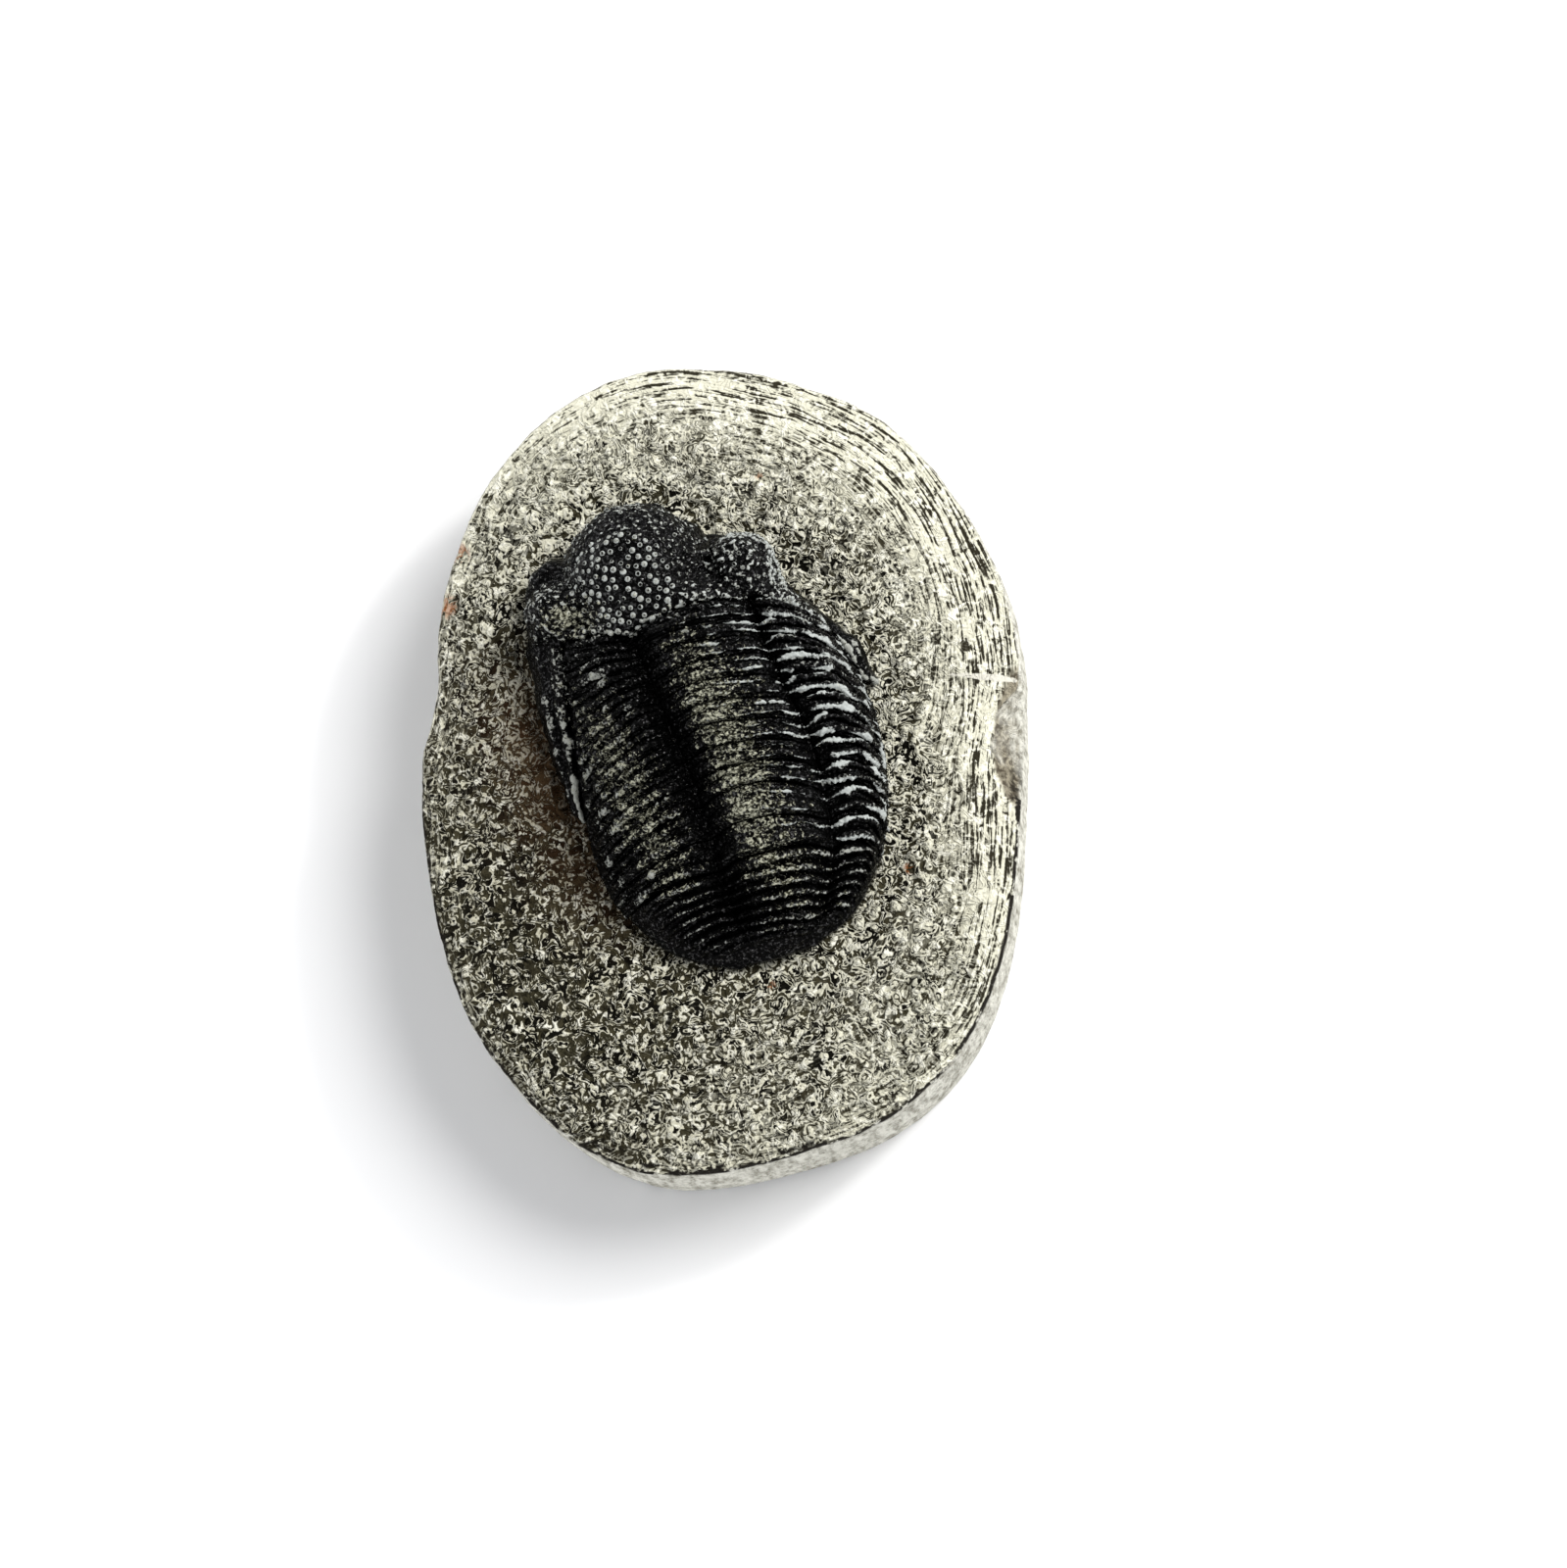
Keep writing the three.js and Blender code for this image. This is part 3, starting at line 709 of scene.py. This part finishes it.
def furrow_weight(co, line, half):
    """1 on a furrow's line, falling off at half beside it."""
    low, size = np.array(SLAB_LOW)[:2], np.array(SLAB_SIZE)[:2]
    flat = co[:, :2]
    nearest = np.full(len(co), 1.0)
    points = [low + np.array(share) * size for share in line]
    for start, end in zip(points, points[1:]):
        way = end - start
        part = np.clip(((flat - start) @ way) / (way @ way), 0, 1)
        nearest = np.minimum(nearest, np.linalg.norm(flat - start - part[:, None] * way, axis=1))
    return bell(nearest, 0, half)


def noise_at(co, grain):
    return np.array([noise.noise(Vector(place) / grain) for place in co])


def wander(piece):
    """Lets the folds wander, alike on every piece because the texture lies in space."""
    roughen(piece, 3.5 * MM, 0.55 * MM, "above", noise_depth=1, direction="Y")


def sharpen(piece, fold, grain):
    """Raises the crests and the two folds of a ring, deepens the hollows and the furrows, and
    breaks the crests into grains."""
    co = places(piece)
    crest = read_crests(piece)
    above = np.clip((co[:, 2] - ROCK_TOP) / (0.8 * MM), 0, 1)
    uneven = noise_at(co, 1.3 * MM)
    at = fold + 0.06 * noise_at(co, 2.1 * MM)
    bands = bell(at, 0.24, 0.08) + bell(at, 0.72, 0.1)
    bands *= np.clip(0.75 + 0.9 * uneven, 0, 1.3)
    lines = bell(at, 0.24, 0.03) + bell(at, 0.7, 0.034)
    set_weights(piece, "above", above)
    set_weights(piece, "crests", np.clip(crest, 0, 1) * above)
    set_weights(piece, "hollows", np.clip(-crest, 0, 1) * above)
    set_weights(piece, "bands", bands * above)
    set_weights(piece, "left furrow", furrow_weight(co, LEFT_FURROW, 1.3 * MM))
    set_weights(piece, "right furrow", furrow_weight(co, RIGHT_FURROW, 0.55 * MM))
    set_weights(piece, "grains", np.clip(0.3 + np.maximum(crest, bands), 0, 1) * above)
    raise_by(piece, 0.26 * MM, "crests")
    raise_by(piece, -0.3 * MM, "hollows")
    raise_by(piece, 0.24 * MM, "bands")
    raise_by(piece, -1.5 * MM, "left furrow", direction="Z")
    raise_by(piece, -0.5 * MM, "right furrow", direction="Z")
    roughen(piece, 1.6 * MM, 0.22 * MM, "grains", noise_depth=2)
    roughen(piece, grain, 0.34 * MM, "grains", noise_depth=1, noise_type="HARD_NOISE")
    wander(piece)

    # The paint's marks: no wear in the left furrow, and painted highlight lines on the folds,
    # mostly to the right of it where the ribs face the light
    dark = furrow_weight(co, LEFT_FURROW, 1.35 * MM) * np.clip(1 + 1.2 * uneven, 0, 1.4)
    worn = np.clip(np.maximum(0.75 * crest, 0.75 * bands) - 0.1 - 1.5 * dark, -1, 0.8)
    piece.data.attributes["crest"].data.foreach_set("value", worn.astype(np.float32))
    x, y = slab_shares(co)
    # Painted highlight: the lines grow stronger towards the right, the side that faces the light
    lit = 0.2 + 0.85 * np.clip((x + 0.42 * (y - 0.476) - 0.46) / 0.16, 0, 1)
    bright = lines * above * lit * (0.75 + 1.3 * uneven) - dark
    write_attribute(piece, "line", np.clip(bright, 0, 1))


def build_ring(node, paint):
    """One ring of the thorax: its folded axis and the two ribs of each side."""
    ring = top_sheet(node, node.replace("thoracic_segment", "thorax_ring"))
    divide(ring, RING_LEVELS)
    mark_crests(ring, 300, 0.2 * MM, 0.07 * MM)
    sharpen(ring, folds(ring), 0.45 * MM)
    close_down(ring)
    mark_residue(ring)
    declare(ring, node, paint)


def build_tail(paint):
    """The tail shield: fused rings that fade to a smooth border."""
    tail = top_sheet("pygidium", "tail_shield")
    divide(tail, TAIL_LEVELS)
    mark_crests(tail, 40, 0.12 * MM, 0.1 * MM)
    no_folds = np.full(len(tail.data.vertices), 0.5)
    sharpen(tail, no_folds, 0.5 * MM)
    close_down(tail)
    mark_residue(tail)
    declare(tail, "pygidium", paint)


# The head

def on_head(across, along):
    """A place in the head's box, as shares of its width and its length."""
    x = HEAD_LOW.x + across * (HEAD_HIGH.x - HEAD_LOW.x)
    y = HEAD_LOW.y + along * (HEAD_HIGH.y - HEAD_LOW.y)
    return Vector((x, y, 0))


def tubercle_middle():
    """The middle of the studded part, on the lower left of the glabella."""
    return on_head(*GLABELLA) + Vector((-1.1, -1.7, 0)) * MM


def flat_distance(co, place):
    return (Vector((co.x, co.y, 0)) - place).length


def bead():
    """The one small dome that every tubercle and every lens is copied from."""
    bpy.ops.mesh.primitive_uv_sphere_add(segments=8, ring_count=6, radius=1)
    dome = bpy.context.object
    dome.name = "dome"
    return dome


def stud(piece, seats):
    """Sets a dome at each seat, (place, normal, radius, height), and joins them on."""
    dome = bead()
    copies = []
    for place, normal, radius, height in seats:
        copy = bpy.data.objects.new("stud", dome.data.copy())
        turn = normal.to_track_quat("Z", "Y").to_matrix().to_4x4()
        size = Matrix.Diagonal((radius, radius, height, 1))
        copy.data.transform(Matrix.Translation(place) @ turn @ size)
        bpy.context.scene.collection.objects.link(copy)
        copies.append(copy)
    only(piece)
    for copy in copies:
        copy.select_set(True)
    bpy.ops.object.join()
    bpy.data.objects.remove(dome)


def scatter(piece, gap, inside, chooser):
    """Places and normals of vertices picked at random, no two nearer than the gap."""
    candidates = [v for v in piece.data.vertices if inside(v.co, v.normal)]
    chooser.shuffle(candidates)
    sides = (-1, 0, 1)
    taken = {}
    chosen = []
    for vertex in candidates:
        cell = tuple(math.floor(c / gap) for c in vertex.co)
        near = [other for dx in sides for dy in sides for dz in sides
                for other in taken.get((cell[0] + dx, cell[1] + dy, cell[2] + dz), ())]
        if all((other - vertex.co).length > gap for other in near):
            taken.setdefault(cell, []).append(vertex.co.copy())
            chosen.append((vertex.co.copy(), vertex.normal.copy()))
    return chosen


def tubercle_seats(head, chooser):
    """Round tubercles, close together on the glabella and smaller elsewhere on the head."""
    middle = tubercle_middle()

    def on_glabella(co, normal):
        away = ((co.x - middle.x) / (4.2 * MM)) ** 2 + ((co.y - middle.y) / (4.5 * MM)) ** 2
        return away < 1 and normal.z > 0.12 and co.z > ROCK_TOP + 4.2 * MM

    def elsewhere(co, normal):
        return normal.z > 0.15 and co.z > ROCK_TOP + 1.6 * MM

    seats = []
    for place, normal in scatter(head, TUBERCLE_GAP, on_glabella, chooser):
        radius = chooser.uniform(0.16, 0.27) * MM
        seats.append((place, normal, radius, radius * 0.75))
    taken = tree_of([place for place, *_ in seats])
    for place, normal in scatter(head, SMALL_TUBERCLE_GAP, elsewhere, chooser):
        if taken.find(place)[2] > 0.6 * MM and place.z > ROCK_TOP + 2.6 * MM:
            radius = chooser.uniform(0.09, 0.19) * MM
            seats.append((place, normal, radius, radius * 0.7))
    return seats


def lens_seats(head):
    """Rows of lenses on the outer wall of the right eye, every second row shifted by half."""
    tree = BVHTree.FromObject(head, bpy.context.evaluated_depsgraph_get())
    eye = on_head(*RIGHT_EYE)
    seats = []
    for row in range(LENS_ROWS):
        middle = Vector((eye.x, eye.y, ROCK_TOP + (LENS_START + row * LENS_RISE) * MM))
        for column in range(LENSES_IN_ROW):
            angle = math.radians(LENS_FIRST + column * LENS_STEP + (row % 2) * LENS_STEP / 2)
            out = Vector((math.cos(angle), math.sin(angle), 0))
            place, normal, _, _ = tree.ray_cast(middle + out * EYE_REACH, -out, EYE_REACH)
            if place and normal.z < 0.75 and (place - middle).length < 4.6 * MM:
                seats.append((place, normal, 0.2 * MM, 0.16 * MM))
    return seats


def roughen_head(head):
    """Uneven all over, and rough on both eyes and on the glabella beside its tubercles."""
    right_eye, left_eye, studded = on_head(*RIGHT_EYE), on_head(*LEFT_EYE), tubercle_middle()

    def rough(co):
        right = 1 - ease(flat_distance(co, right_eye), 1.6 * MM, 2.4 * MM)
        left = 1 - ease(flat_distance(co, left_eye), 2 * MM, 3 * MM)
        front = ease(flat_distance(co, studded), 3.6 * MM, 5 * MM) * 0.75
        return max(right, left, front) * ease(co.z, ROCK_TOP + 3 * MM, ROCK_TOP + 4.2 * MM)

    weigh(head, "rough", rough)
    roughen(head, 2.4 * MM, 0.6 * MM, "above", noise_depth=1)
    roughen(head, 0.9 * MM, 0.26 * MM, "above", noise_depth=2)
    roughen(head, 0.6 * MM, 0.55 * MM, "rough", noise_depth=1, noise_type="HARD_NOISE")


def build_head(paint):
    """The head shield: glabella, eyes and cheeks in one skin, with tubercles and lenses."""
    head = top_sheet("cephalon", "head_shield")
    divide(head, 2)
    close_down(head)
    finish_with(head, "REMESH", mode="VOXEL", voxel_size=HEAD_VOXEL, adaptivity=0)
    finish_with(head, "SMOOTH", factor=0.5, iterations=4)
    weigh(head, "above", lambda co: ease(co.z, ROCK_TOP - 0.5 * MM, ROCK_TOP + 0.5 * MM))
    raise_by(head, 0.13 * MM, "above")
    roughen_head(head)
    wander(head)
    stud(head, tubercle_seats(head, random.Random(11)) + lens_seats(head))
    mark_crests(head, 10, 0.11 * MM)
    # Painted highlight: the most raised points on the front half of the head, mostly tubercle and
    # lens tips, take the pale highlight colour
    along = (places(head)[:, 1] - HEAD_LOW.y) / (HEAD_HIGH.y - HEAD_LOW.y)
    tips = np.clip(1.6 * read_crests(head) - 0.8, 0, 0.75)
    write_attribute(head, "line", tips * np.clip((along - 0.5) / 0.08, 0, 1))
    mark_residue(head)
    declare(head, "cephalon", paint)


add_camera()
add_floor()
light_scene()
shell = shell_paint()
build_slab(limestone_paint())
build_head(shell)
for ring_node in RINGS:
    build_ring(ring_node, shell)
build_tail(shell)
